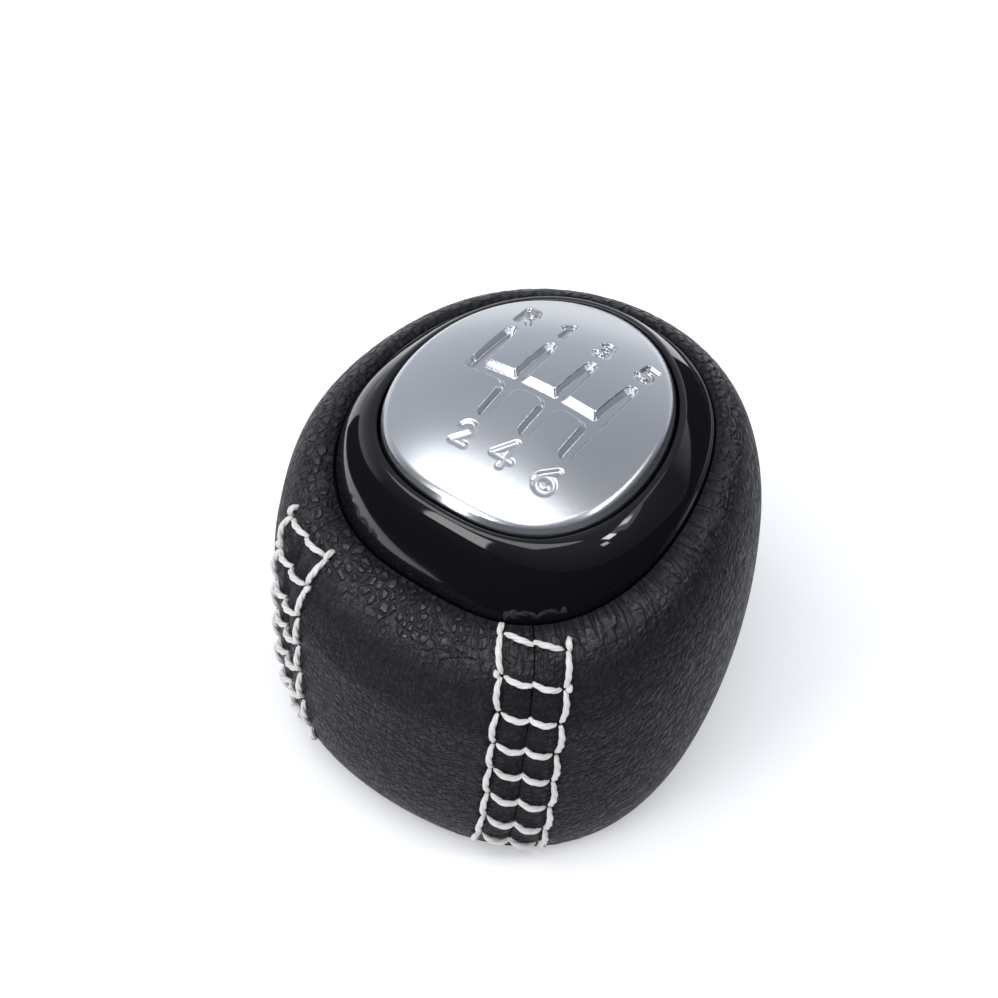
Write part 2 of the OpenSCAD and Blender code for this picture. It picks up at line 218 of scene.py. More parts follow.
def grainedLeather():
    # Nappa cowhide, dyed through and semi-matt: a soft sheen on the pebbles, and dark creases between them,
    # shaded by the bump and by painted shade in the colour.
    look = {"pebble": 1.2, "flankPebble": 0.74, "stretch": 1.7, "lean": 12, "crease": 0.26,
            "wander": (0.8, 0.8, 0.0), "wrinkle": (1.7, 0.55, 1.0), "wrinkleLean": -14,
            "wrinkleBand": (0.8, 0.42, 0.56), "fold": (0.85, 6.0, 1.0), "foldBand": (0.2, 0.4, 0.54),
            "foldShare": 0.75, "foldStart": (-12.0, -30.0), "foldEnd": (-74.0, -56.0),
            "rollEnd": 8.5, "rollStart": 0.45, "rollDepth": 0.55, "flankDepth": 0.3,
            "swellDepth": 0.16, "poreDepth": 0.02}
    material, tree, shader = newMaterial("grainedNappaLeather", "#221e24", 0.45, IOR=1.5)
    place = addNode(tree, "UVMap", {"uv_map": "hide"})
    parts = addNode(tree, "SeparateXYZ", links={0: place.outputs["UV"]})
    onRoll = addNode(tree, "MapRange", {"From Min": look["rollEnd"],
                                        "From Max": look["rollEnd"] * look["rollStart"],
                                        "interpolation_type": "SMOOTHSTEP"}, {"Value": parts.outputs["Y"]})
    wander = addNode(tree, "TexNoise", {"Scale": 1.0, "Detail": 3.0}, {"Vector": place.outputs["UV"]})
    bent = addNode(tree, "VectorMath", {"operation": "MULTIPLY_ADD", 1: look["wander"]},
                   {0: wander.outputs["Color"], 2: place.outputs["UV"]})

    def mapped(source, scale, lean=0):
        return addNode(tree, "Mapping", {"vector_type": "TEXTURE", "Rotation": (0, 0, math.radians(lean)),
                                         "Scale": scale}, {"Vector": source})

    def cells(source, size, crease):
        web = addNode(tree, "TexVoronoi", {"feature": "DISTANCE_TO_EDGE", "Scale": 1 / size},
                      {"Vector": source.outputs[0]})
        return addNode(tree, "MapRange", {"From Max": crease, "interpolation_type": "SMOOTHSTEP"},
                       {"Value": web.outputs["Distance"]})

    def creases(source, distortion, low, high):
        ripple = addNode(tree, "TexNoise", {"Scale": 1.0, "Detail": 2.0, "Distortion": distortion},
                         {"Vector": source.outputs[0]})
        return addNode(tree, "MapRange", {"From Min": low, "From Max": high,
                                          "interpolation_type": "SMOOTHSTEP"},
                       {"Value": ripple.outputs["Fac"]})

    def around(low, high):
        return addNode(tree, "MapRange", {"From Min": low, "From Max": high}, {"Value": parts.outputs["X"]})

    def blended(share, first, second):
        return addNode(tree, "Mix", {"data_type": "FLOAT"},
                       {"Factor": share.outputs[0], 2: first.outputs[0], 3: second.outputs[0]})

    def times(first, second):
        return addNode(tree, "Math", {"operation": "MULTIPLY"}, {0: first.outputs[0], 1: second.outputs[0]})

    pebbles = cells(bent, look["pebble"], look["crease"])
    stretched = mapped(bent.outputs[0], (1.0, look["stretch"], 1.0), look["lean"])
    flank = cells(stretched, look["flankPebble"], look["crease"])
    drawn = mapped(bent.outputs[0], look["wrinkle"], look["wrinkleLean"])
    wrinkles = creases(drawn, *look["wrinkleBand"])
    weave = addNode(tree, "MapRange", {"To Min": 0.45, "To Max": 0.12}, {"Value": onRoll.outputs[0]})
    grain = blended(weave, blended(onRoll, flank, pebbles), wrinkles)
    # Pull folds gather on the roll's right side only; X is the way round the head and Y the way down.
    gathered = times(times(around(*look["foldStart"]), around(*look["foldEnd"])), onRoll)
    folded = addNode(tree, "Math", {"operation": "MULTIPLY", 1: look["foldShare"]}, {0: gathered.outputs[0]})
    folds = creases(mapped(place.outputs["UV"], look["fold"]), *look["foldBand"])
    broken = blended(folded, grain, folds)
    depth = addNode(tree, "MapRange", {"To Min": look["flankDepth"] / look["rollDepth"], "To Max": 1.0},
                    {"Value": onRoll.outputs[0]})
    coarse = addNode(tree, "Bump", {"Distance": look["rollDepth"] * mm},
                     {"Height": broken.outputs[0], "Strength": depth.outputs[0]})
    swell = addNode(tree, "TexNoise", {"Scale": 1.2, "Detail": 4.0}, {"Vector": bent.outputs[0]})
    fine = addNode(tree, "Bump", {"Distance": look["swellDepth"] * mm, "Strength": 0.6},
                   {"Height": swell.outputs["Fac"], "Normal": coarse.outputs[0]})
    pores = addNode(tree, "TexNoise", {"Scale": 7.0, "Detail": 3.0}, {"Vector": place.outputs["UV"]})
    porous = addNode(tree, "Bump", {"Distance": look["poreDepth"] * mm, "Strength": 0.6},
                     {"Height": pores.outputs["Fac"], "Normal": fine.outputs[0]})
    tree.links.new(porous.outputs[0], shader.inputs["Normal"])
    # Painted shade: the colour darkens in the creases and folds of the grain.
    wearAndCreaseShade = addNode(tree, "MapRange", {"To Min": 0.55, "To Max": 1.0}, {"Value": broken.outputs[0]})
    tone = addNode(tree, "Mix", {"data_type": "RGBA", "A": linear("#09090c"), "B": linear("#25252c")},
                   {"Factor": wearAndCreaseShade.outputs[0]})
    tree.links.new(tone.outputs[2], shader.inputs["Base Color"])
    calm = addNode(tree, "Math", {"operation": "MULTIPLY_ADD", 1: -0.5},
                   {0: gathered.outputs[0], 2: onRoll.outputs[0]})
    polish = addNode(tree, "MapRange", {"To Min": 0.1, "To Max": 0.68}, {"Value": calm.outputs[0]})
    # Hands polish the roll; in the last millimetres beside the bezel its sheen is cut, painted shade where
    # the leather tucks under the bezel.
    bezelSideShade = addNode(tree, "MapRange", {"From Min": 0.3, "From Max": 2.8, "To Min": 0.15,
                                         "interpolation_type": "SMOOTHSTEP"}, {"Value": parts.outputs["Y"]})
    shine = times(polish, bezelSideShade)
    tree.links.new(shine.outputs[0], shader.inputs["Specular IOR Level"])
    rubbed = addNode(tree, "MapRange", {"To Min": 0.56, "To Max": 0.32}, {"Value": broken.outputs[0]})
    tree.links.new(rubbed.outputs[0], shader.inputs["Roughness"])
    return material


def blastedAluminium():
    # Pressed aluminium, bead blasted and clear anodised: an even satin that spreads highlights.
    material, tree, shader = newMaterial("blastedAluminium", "#cdd0d4", 0.3, 1.0)
    place = addNode(tree, "TexCoord")
    grit = addNode(tree, "TexNoise", {"Scale": 9000.0, "Detail": 2.0}, {"Vector": place.outputs["Object"]})
    bump = addNode(tree, "Bump", {"Distance": 0.002 * mm, "Strength": 0.5}, {"Height": grit.outputs["Fac"]})
    tree.links.new(bump.outputs[0], shader.inputs["Normal"])
    cloud = addNode(tree, "TexNoise", {"Scale": 180.0, "Detail": 3.0}, {"Vector": place.outputs["Object"]})
    wearAndCreaseShade = addNode(tree, "MapRange", {"To Min": 0.24, "To Max": 0.29}, {"Value": cloud.outputs["Fac"]})
    tree.links.new(wearAndCreaseShade.outputs[0], shader.inputs["Roughness"])
    return material


def pianoBlack():
    # High gloss moulded ABS, lacquered: black body with a sharp mirror on top.
    material, tree, shader = newMaterial("pianoBlackAbs", "#0e0d11", 0.06, IOR=1.53)
    place = addNode(tree, "TexCoord")
    smear = addNode(tree, "TexNoise", {"Scale": 120.0, "Detail": 4.0}, {"Vector": place.outputs["Object"]})
    handled = addNode(tree, "MapRange", {"To Min": 0.04, "To Max": 0.09}, {"Value": smear.outputs["Fac"]})
    tree.links.new(handled.outputs[0], shader.inputs["Roughness"])
    return material


def waxedThread():
    # Bonded polyester thread, three plies, waxed: off-white with a slight sheen.
    material, tree, shader = newMaterial("waxedPolyesterThread", "#ebe7e4", 0.42, IOR=1.5)
    shader.inputs["Sheen Weight"].default_value = 0.15
    place = addNode(tree, "TexCoord")
    fibres = addNode(tree, "TexNoise", {"Scale": 5200.0, "Detail": 2.0}, {"Vector": place.outputs["Object"]})
    bump = addNode(tree, "Bump", {"Distance": 0.03 * mm, "Strength": 0.5}, {"Height": fibres.outputs["Fac"]})
    tree.links.new(bump.outputs[0], shader.inputs["Normal"])
    soiled = addNode(tree, "TexNoise", {"Scale": 700.0, "Detail": 3.0}, {"Vector": place.outputs["Object"]})
    tone = addNode(tree, "Mix", {"data_type": "RGBA", "A": linear("#c9c5c2"), "B": linear("#f0edeb")},
                   {"Factor": soiled.outputs["Fac"]})
    tree.links.new(tone.outputs[2], shader.inputs["Base Color"])
    return material


def plainFinish(name, colour, roughness, metallic, grain, depth):
    material, tree, shader = newMaterial(name, colour, roughness, metallic)
    place = addNode(tree, "TexCoord")
    texture = addNode(tree, "TexNoise", {"Scale": grain, "Detail": 3.0}, {"Vector": place.outputs["Object"]})
    bump = addNode(tree, "Bump", {"Distance": depth * mm, "Strength": 0.5},
                   {"Height": texture.outputs["Fac"]})
    tree.links.new(bump.outputs[0], shader.inputs["Normal"])
    uneven = addNode(tree, "MapRange", {"To Min": roughness * 0.85, "To Max": roughness * 1.15},
                     {"Value": texture.outputs["Fac"]})
    tree.links.new(uneven.outputs[0], shader.inputs["Roughness"])
    return material


leather = grainedLeather()
aluminium = blastedAluminium()
glossBlack = pianoBlack()
thread = waxedThread()
print("materials made")


# Leather panels

panelLook = {
    "gap": 0.12, "thickness": 1.1, "turnIn": 4.0, "tuck": 2.2, "levels": (0.02, 1.988),
    "rows": 128, "backColumns": 30, "crowding": 0.62, "bends": 5,
    "lap": 0.05, "lapDrop": 0.5, "lapBackDrop": 1.6, "footIn": 0.9, "footBack": 0.8, "footBackIn": 1.8,
    "dip": 0.45, "dipSpread": 0.9, "pit": 0.4, "pitRadius": 0.42, "fade": 4,
    "press": 0.14, "pressWidth": 0.55, "pressEnd": 0.5,
    "crease": 0.13, "creaseWidth": 1.2, "creaseLength": 5, "creaseMiddle": 2.5, "creaseReach": 3.2,
    "creaseSlice": 3.1, "girth": 22, "hideGirth": 24, "hideFoot": (44, 39.2), "hideTop": (0.3, -2),
}


def leatherRelief(a, v):
    # The seam's dip, a pit at each hole, the rails' print, and fine creases on the roll
    across, down, fade = acrossAt(a, v), downAt(v), panelLook["fade"]
    ends = np.minimum(1, np.minimum(fade * v, fade * (2 - v)))
    relief = -panelLook["dip"] * np.exp(-across ** 2 / panelLook["dipSpread"]) * ends
    half, soft = seam["ladderWidth"] / 2, panelLook["pressEnd"]
    ladders = ((1, seam["rightFirst"], seam["rightRungs"]), (-1, seam["leftFirst"], seam["leftRungs"]))
    for sign, first, rungs in ladders:
        onSide = np.where(np.sign(a) == sign, 1.0, 0.0)
        for s, w in holes(first, rungs):
            far = ((across - w) ** 2 + (down - s) ** 2) / panelLook["pitRadius"] ** 2
            relief -= onSide * panelLook["pit"] * np.exp(-far)
        last = first + seam["pitch"] * (rungs - 1)
        for w, shift in ((-half, 0), (half, seam["slant"])):
            along = smoothStep(first + shift - soft, first + shift + soft, down)
            along *= 1 - smoothStep(last + shift - soft, last + shift + soft, down)
            beneath = np.exp(-((across - w) / panelLook["pressWidth"]) ** 2)
            relief -= onSide * panelLook["press"] * beneath * along
    around = a * panelLook["girth"]
    wide, long, level = panelLook["creaseWidth"], panelLook["creaseLength"], panelLook["creaseSlice"]
    fold = np.array([noise.noise(Vector((x / wide, y / long, level)))
                     for x, y in zip(around.ravel(), down.ravel())]).reshape(a.shape)
    beside = np.exp(-((down - panelLook["creaseMiddle"]) / panelLook["creaseReach"]) ** 2)
    relief -= panelLook["crease"] * np.abs(fold) * beside * ends
    return relief


def bend(p, q, r):
    return [p * (1 - u) ** 2 + 2 * q * u * (1 - u) + r * u * u
            for u in np.linspace(0, 1, panelLook["bends"] + 1)[1:]]


def leatherPanel(name, node, isFront, columns):
    lowest, highest = panelLook["levels"]
    levels = levelAt(np.linspace(downAt(lowest), downAt(highest), panelLook["rows"]))
    v = levels[:, None] * np.ones((1, columns))
    t = np.linspace(0, 1, columns)[None, :]
    t = t - panelLook["crowding"] * np.sin(2 * np.pi * t) / (2 * np.pi)      # closer columns at the seams
    edge = seamAngle(v) - (panelLook["gap"] / 2) / skinR(seamAngle(v), v) * (1 if isFront else -1)
    if isFront:
        a = -edge + 2 * edge * t
        folded = a
    else:
        a = edge + (2 * math.pi - 2 * edge) * t
        folded = np.where(a > math.pi, a - 2 * math.pi, a)
    normal = skinNormal(a, v)
    shown = skin(a, v) + normal * leatherRelief(folded, v)[..., None]
    thick, lap = panelLook["thickness"], panelLook["lap"]
    behind = skin(a, v) - normal * thick
    topA, footA = a[-1], a[0]
    neck, joint, base, lip = neckR(topA), neckH(topA), baseR(footA), head["lipHeight"]
    # The panel turns in between bezel and core at its top, and under the core at its foot.
    tucked, inner = joint - panelLook["tuck"], base - panelLook["turnIn"]
    topRows = bend(shown[-1], at(topA, neck - lap, joint),
                   at(topA, neck - lap, joint - panelLook["lapDrop"]))
    topRows.append(at(topA, neck, tucked))
    topBack = bend(behind[-1], at(topA, neck + thick, joint - thick),
                   at(topA, neck + thick, joint - panelLook["lapBackDrop"]))
    topBack.append(at(topA, neck + thick, tucked))
    footRows = bend(shown[0], at(footA, base, lip), at(footA, base - panelLook["footIn"], lip))
    footRows.append(at(footA, inner, lip))
    footBack = bend(behind[0], at(footA, base - thick * panelLook["footBack"], lip + thick),
                    at(footA, base - panelLook["footBackIn"], lip + thick))
    footBack.append(at(footA, inner, lip + thick))
    front = np.array(footRows[::-1] + list(shown) + topRows)
    back = np.array(footBack[::-1] + list(behind) + topBack)
    rows = len(front)
    chosen = np.unique(np.linspace(0, columns - 1, panelLook["backColumns"]).astype(int))
    count = len(chosen)
    start = rows * columns
    points = np.concatenate([front.reshape(-1, 3), back[:, chosen].reshape(-1, 3)])
    faces = [f[::-1] for f in gridFaces(rows, columns)]
    faces += gridFaces(rows, count, start)
    for j in range(rows - 1):
        low, high = j * columns, (j + 1) * columns
        lowBack, highBack = start + j * count, start + (j + 1) * count
        faces.append((high, low, lowBack, highBack))
        faces.append((low + columns - 1, high + columns - 1, highBack + count - 1, lowBack + count - 1))
    for row, flip in ((0, True), (rows - 1, False)):
        for k in range(count - 1):
            here, after = start + row * count + k, start + row * count + k + 1
            for i in range(chosen[k], chosen[k + 1]):
                fan = (row * columns + i, here, row * columns + i + 1)
                faces.append(fan[::-1] if flip else fan)
            fan = (row * columns + chosen[k + 1], here, after)
            faces.append(fan[::-1] if flip else fan)
    piece = makePiece(name, points, faces, leather, node)
    # The hide laid flat in millimetres, for the grain: round the head, and down from the bezel.
    down = np.concatenate([np.linspace(*panelLook["hideFoot"], len(footRows)), downAt(levels),
                           np.linspace(*panelLook["hideTop"], len(topRows))])
    flat = np.stack([np.broadcast_to(-a[len(a) // 2] * panelLook["hideGirth"], (rows, columns)),
                     np.broadcast_to(down[:, None], (rows, columns))], -1)
    flat = np.concatenate([flat.reshape(-1, 2), flat[:, chosen].reshape(-1, 2)])
    layer = piece.data.uv_layers.new(name="hide")
    corner = np.zeros(len(piece.data.loops), dtype=np.int32)
    piece.data.loops.foreach_get("vertex_index", corner)
    layer.data.foreach_set("uv", flat[corner].astype(np.float32).ravel())


leatherPanel("frontLeather", "front_leather_panel", True, 440)
leatherPanel("rearLeather", "rear_leather_panel", False, 190)
print("leather drawn over the core")


# Ladder stitches

threadLook = {"thickness": 0.8, "plies": 3, "plyRadius": 0.235, "twist": 4.2, "rings": 26, "sides": 10,
              "sag": 0.3, "firstSag": 0.15, "bow": 0.32, "unevenBow": (0.6, 1.2), "uneven": 0.08,
              "lift": 0.02, "sink": 0.4, "plump": 0.42, "slimEnd": 0.5,
              "railGap": 0.22, "lastInner": 2.2, "lastOuter": 1.3, "tailBow": 0.05, "tailLift": 0.6}
# How far each stitch starts from its hole, down the seam and across it, and the same for its other end
stitchEnds = {
    "innerRung": (0.16, 0.62, 0.12, -0.02), "outerRung": (-0.16, 0.06, -0.06, -0.66),
    "innerRail": (0.34, 0.1, 0, 0.22), "outerRail": (0.34, -0.1, 0, -0.14),
    "innerTail": (-0.35, -0.34, 0.2, -0.16), "outerTail": (-0.3, 0.34, 0.25, 0.16),
    "innerStart": (-0.9, 0.35, 0.35, 0), "outerStart": (-1.2, 0.05, 0.25, 0.1),
}


def overSkin(sign, s, w, h):
    v = levelAt(s)
    a = seamAngle(v) - w / skinR(seamAngle(v), v)
    p = skin(a, v) + skinNormal(a, v) * np.asarray(h)[..., None]
    return p * np.array([sign, 1, 1])


def stitch(sign, s0, w0, s1, w1, sag, bow, height, phase):
    rings, sides = threadLook["rings"], threadLook["sides"]
    t = (1 - np.cos(np.linspace(0, np.pi, rings))) / 2
    arch = 4 * t * (1 - t)
    s = s0 + (s1 - s0) * t + sag * arch
    w = w0 + (w1 - w0) * t + bow * arch
    swell = np.sin(np.pi * np.clip(t, 0.004, 0.996)) ** threadLook["plump"]
    h = height * swell - threadLook["sink"] * (1 - swell)
    middle = overSkin(sign, s, w, h)
    tangent = np.gradient(middle, axis=0)
    tangent /= np.linalg.norm(tangent, axis=1, keepdims=True)
    out = overSkin(sign, s, w, h + 1) - middle
    across = np.cross(tangent, out)
    across /= np.linalg.norm(across, axis=1, keepdims=True)
    out = np.cross(across, tangent)
    length = np.concatenate([[0], np.cumsum(np.linalg.norm(np.diff(middle, axis=0), axis=1))])
    points, faces = [], []
    slim = threadLook["slimEnd"] + (1 - threadLook["slimEnd"]) * swell
    circle = np.linspace(0, 2 * np.pi, sides, endpoint=False)
    for ply in range(threadLook["plies"]):
        turn = phase + 2 * np.pi * (ply / threadLook["plies"] + length / threadLook["twist"])
        away = (threadLook["thickness"] / 2 - threadLook["plyRadius"]) * slim
        heart = middle + across * (away * np.cos(turn))[:, None] + out * (away * np.sin(turn))[:, None]
        r = threadLook["plyRadius"] * slim
        loop = (heart[:, None] + across[:, None] * (r[:, None] * np.cos(circle))[..., None]
                + out[:, None] * (r[:, None] * np.sin(circle))[..., None])
        start = sum(len(p) for p in points)
        points.append(loop.reshape(-1, 3))
        faces += [f[::-1] for f in gridFaces(rings, sides, start, wrapColumns=True)]
        faces.append(tuple(start + i for i in range(sides)))
        faces.append(tuple(start + (rings - 1) * sides + i for i in range(sides))[::-1])
    return np.concatenate(points), faces


def ladder(name, node, sign, first, rungs):
    half = seam["ladderWidth"] / 2
    height = threadLook["thickness"] / 2 + threadLook["lift"]
    points, faces = [], []

    def sew(kind, start, finish, sag=0, bow=0, lift=1.0):
        down, across, downEnd, acrossEnd = stitchEnds[kind]
        more, quads = stitch(sign, start[0] + down, start[1] + across, finish[0] + downEnd,
                             finish[1] + acrossEnd, sag, bow, height * lift, chance.uniform(0, 6.28))
        count = sum(len(p) for p in points)
        points.append(more)
        faces.extend(tuple(count + i for i in q) for q in quads)

    for k in range(rungs):
        inner = first + seam["pitch"] * k + chance.uniform(-threadLook["uneven"], threadLook["uneven"])
        outer = inner + seam["slant"]
        middle = ((inner + outer) / 2, 0)
        sag = threadLook["sag"] * (threadLook["firstSag"] + (1 - threadLook["firstSag"]) * k / rungs)
        sew("innerRung", (inner, -half), middle, sag)
        sew("outerRung", middle, (outer, half), sag)
        bow = threadLook["bow"] * chance.uniform(*threadLook["unevenBow"])
        run = seam["pitch"] - threadLook["railGap"]
        last = k == rungs - 1
        innerEnd = inner + (threadLook["lastInner"] if last else run)
        outerEnd = outer + (threadLook["lastOuter"] if last else run)
        sew("innerRail", (inner, -half), (innerEnd, -half), bow=-bow)
        sew("outerRail", (outer, half), (outerEnd, half), bow=bow)
        if k == 1:                  # short ends cross the rails at the second rung
            bow, lift = threadLook["tailBow"], threadLook["tailLift"]
            sew("innerTail", (inner, -half), (inner, -half), bow=-bow, lift=lift)
            sew("outerTail", (outer, half), (outer, half), bow=bow, lift=lift)
    start = first + seam["slant"]
    sew("innerStart", (first, -half), (first, -half))
    sew("outerStart", (start, half), (start, half))
    makePiece(name, np.concatenate(points), faces, thread, node)


ladder("rightLadder", "right_seam_thread", 1, seam["rightFirst"], seam["rightRungs"])
ladder("leftLadder", "left_seam_thread", -1, seam["leftFirst"], seam["leftRungs"])
print("seams stitched")


# Bezel

bezelLook = {"wall": 1.6, "skirt": 3.0, "lipWidth": 0.6, "lipRound": 0.3, "lipDepth": 1.8, "lipDrop": 0.3,
             "plateGap": 0.45, "glue": 0.2, "bulge": 0.72, "farBulge": 0.5, "fall": 0.1, "farFall": 0.3,
             "farSide": (-0.35, 0.45), "edge": 0.02, "farEdge": 0.16, "steps": 288, "bandSteps": 25,
             "farRim": ((0.36, 0.42), (0.2, 0.36), (0.08, 0.3))}
plateLook = {"front": 21.9, "rear": 11.4, "side": 15.45, "point": 0.7, "level": 46.5, "slope": 0.02,
             "rim": 0.95, "dome": 4.0, "across": 44.0, "along": 40.0, "middle": 4.2, "edge": 1.6,
             "cells": 306, "normalStep": 0.03, "rimShare": 0.985, "rimTilt": 0.6, "footMiddle": 3}


def plateR(a):
    return egg(a, plateLook["front"], plateLook["rear"], plateLook["side"], plateLook["point"])


def plateLevel(y):
    return plateLook["level"] + plateLook["slope"] * y


def domeZ(x, y):
    return (plateLevel(y) + plateLook["dome"] - x * x / (2 * plateLook["across"])
            - (y - plateLook["middle"]) ** 2 / (2 * plateLook["along"]))


def bezelRing():
    a = np.linspace(0, 2 * np.pi, bezelLook["steps"], endpoint=False)
    outer = neckR(a) - bezelLook["glue"]
    joint = neckH(a)
    inner = plateR(a) + bezelLook["plateGap"]
    top = plateLevel(plateR(a) * np.cos(a)) - bezelLook["lipDrop"]
    wall, low, curl = bezelLook["wall"], joint - bezelLook["skirt"], bezelLook["lipRound"]
    shoulder = inner + bezelLook["lipWidth"]
    far = smoothStep(*bezelLook["farSide"], np.cos(a))           # 1 on the side away from the driver
    bulge = bezelLook["bulge"] + (bezelLook["farBulge"] - bezelLook["bulge"]) * far
    knee = shoulder + bulge * (outer - shoulder)
    fall = bezelLook["fall"] + bezelLook["farFall"] * far
    loops = [at(a, outer, low), at(a, outer - wall, low), at(a, outer - wall, joint)]
    rest = top - bezelLook["lipDepth"]
    loops += [at(a, inner + curl, rest - curl), at(a, inner, rest)]
    quarterTurn = 1.57
    loops += [at(a, inner + curl - curl * math.cos(q), top - curl + curl * math.sin(q))
              for q in np.linspace(0, quarterTurn, 5)]
    for t in np.linspace(0, 1, bezelLook["bandSteps"] + 1)[1:]:
        r = (1 - t) ** 2 * shoulder + 2 * t * (1 - t) * knee + t * t * outer
        z = (1 - t) ** 2 * top + 2 * t * (1 - t) * (top - fall * (top - joint)) + t * t * joint
        loops.append(at(a, r, z))
    # On the far side the band ends in a thin rounded lip.
    rim = [at(a, outer - inwards, joint + lift) for inwards, lift in bezelLook["farRim"]]
    loops[-4:-1] = [before + (after - before) * far[:, None] for before, after in zip(loops[-4:-1], rim)]
    loops.insert(-1, at(a, outer, joint + bezelLook["edge"] + bezelLook["farEdge"] * far))
    loops = np.array(loops)
    faces = gridFaces(len(loops), len(a), wrapRows=True, wrapColumns=True)
    makePiece("glossBezel", loops.reshape(-1, 3), faces, glossBlack, "bezel")


bezelRing()
print("bezel turned")


# Shift plate

def blendMin(p, q, soft):
    h = np.clip(0.5 + 0.5 * (q - p) / soft, 0, 1)
    return q * (1 - h) + p * h - soft * h * (1 - h)


def toSegment(x, y, p, q):
    dx, dy = q[0] - p[0], q[1] - p[1]
    t = np.clip(((x - p[0]) * dx + (y - p[1]) * dy) / (dx * dx + dy * dy + 1e-9), 0, 1)
    return np.hypot(x - p[0] - dx * t, y - p[1] - dy * t)


# The slots' middles, ends and half widths; the photo's pattern leans and turns a little on its plate.
gate = {"columns": (-7.95, -2.68, 2.6, 7.93), "front": 11.8, "rear": -0.35, "cross": 5.35,
        "endHalf": (0.66, 0.8), "crossHalf": 0.9, "channelHalf": 0.98, "turn": 0.062, "lean": 0.02,
        "leanFrom": 8, "lowerFillet": 1.3, "upperFillet": 0.3, "sharp": 0.05, "corner": 0.4, "depth": 0.88,
        "wallStart": 0.1, "wallRun": 0.56, "frontRun": 0.8, "rounding": 0.2,
        "frontWall": (4.7, 5.6, 6.3, 6.9), "frontWallEnd": (7.1, 7.7)}


def slotDistance(x, y, column, start, end, endHalf):
    t = np.clip((y - start) / (end - start), 0, 1)
    return (np.hypot(x - column, y - start - (end - start) * t)
            - gate["crossHalf"] - (endHalf - gate["crossHalf"]) * t ** 2)


def gateDistance(x, y):
    cross, corner = gate["cross"], gate["corner"]
    x, y = x - gate["lean"] * (y - gate["leanFrom"]), y - gate["turn"] * x
    left, right = gate["columns"][0] - gate["crossHalf"], gate["columns"][-1] + gate["crossHalf"]
    dx = np.abs(x - (left + right) / 2) - (right - left) / 2 + corner
    dy = np.abs(y - cross) - gate["channelHalf"] + corner
    distance = np.hypot(np.maximum(dx, 0), np.maximum(dy, 0)) + np.minimum(np.maximum(dx, dy), 0) - corner
    for column in gate["columns"]:
        slot = slotDistance(x, y, column, cross, gate["front"], gate["endHalf"][0])
        distance = blendMin(distance, slot, gate["upperFillet"])
    for column in gate["columns"][1:]:
        soft = np.where((y < cross) & (x < gate["columns"][-1]), gate["lowerFillet"], gate["sharp"])
        slot = slotDistance(x, y, column, cross, gate["rear"], gate["endHalf"][1])
        distance = blendMin(distance, slot, soft)
    return distance


def arc(x, y, r, start, end, count=14):
    return [(x + r * math.cos(math.radians(q)), y + r * math.sin(math.radians(q)))
            for q in np.linspace(start, end, count)]


# The strokes of each gear mark, in a box one unit high with its lower left corner at 0, 0
glyphs = {
    "R": [[(0, 0), (0, 1)], [(0, 1), (0.3, 1)] + arc(0.3, 0.76, 0.24, 90, -90) + [(0, 0.52)],
          [(0.28, 0.5), (0.58, 0)]],
    "1": [[(0.3, 0), (0.3, 1)], [(0.3, 1), (0.02, 0.74)]],
    "2": [arc(0.3, 0.72, 0.27, 165, -35) + [(0.02, 0.02), (0.62, 0.02)]],
    "3": [arc(0.28, 0.76, 0.23, 150, -90) + arc(0.28, 0.27, 0.26, 90, -150)],
    "4": [[(0.45, 0), (0.45, 1), (0.0, 0.3), (0.66, 0.3)]],
    "5": [[(0.55, 1), (0.1, 1), (0.06, 0.56)] + arc(0.27, 0.32, 0.31, 125, -150)],
    "6": [[(0.46, 1)] + arc(0.34, 0.32, 0.36, 140, 190, count=6), arc(0.31, 0.3, 0.29, 0, 360, count=22)],
}
# Stroke, depth and slope are those of the rear row, then of the front row. A place is a mark's left
# edge, its foot, and the height and width of its unit box. Points not near its middle count as beyond.
marks = {
    "stroke": (0.7, 0.62), "depth": (0.21, 0.44), "slope": (0.5, 0.42), "rowBorder": 5,
    "places": {"R": (-8.5, 13.29, 2.44, 2.7), "1": (-3.4, 13.71, 2.37, 2.37),
               "3": (1.5, 14.0, 2.37, 2.55), "5": (7.03, 14.44, 2.44, 2.5),
               "2": (-3.88, -5.42, 2.73, 2.75), "4": (1.15, -5.38, 3.22, 3.5),
               "6": (7.0, -5.28, 3.1, 3.38)},
    "middle": (1, 1.6), "near": (3, 3.2), "beyond": 9.0,
}


def markDistance(x, y):
    distance = np.full_like(x, marks["beyond"])
    (across, along), (wide, high) = marks["middle"], marks["near"]
    for sign, (left, foot, height, width) in marks["places"].items():
        near = (np.abs(x - left - across) < wide) & (np.abs(y - foot - along) < high)
        for stroke in glyphs[sign]:
            points = [(left + p * width, foot + q * height) for p, q in stroke]
            for p, q in zip(points, points[1:]):
                distance[near] = np.minimum(distance[near], toSegment(x[near], y[near], p, q))
    return distance


def ramp(t, rounding):           # a straight slope from 0 to 1 with both ends rounded
    t = np.clip(t, 0, 1)
    near = np.minimum(t, 1 - t)
    rise = np.where(near < rounding, near * near / (2 * rounding), near - rounding / 2) / (1 - rounding)
    return np.where(t < 0.5, rise, 1 - rise)


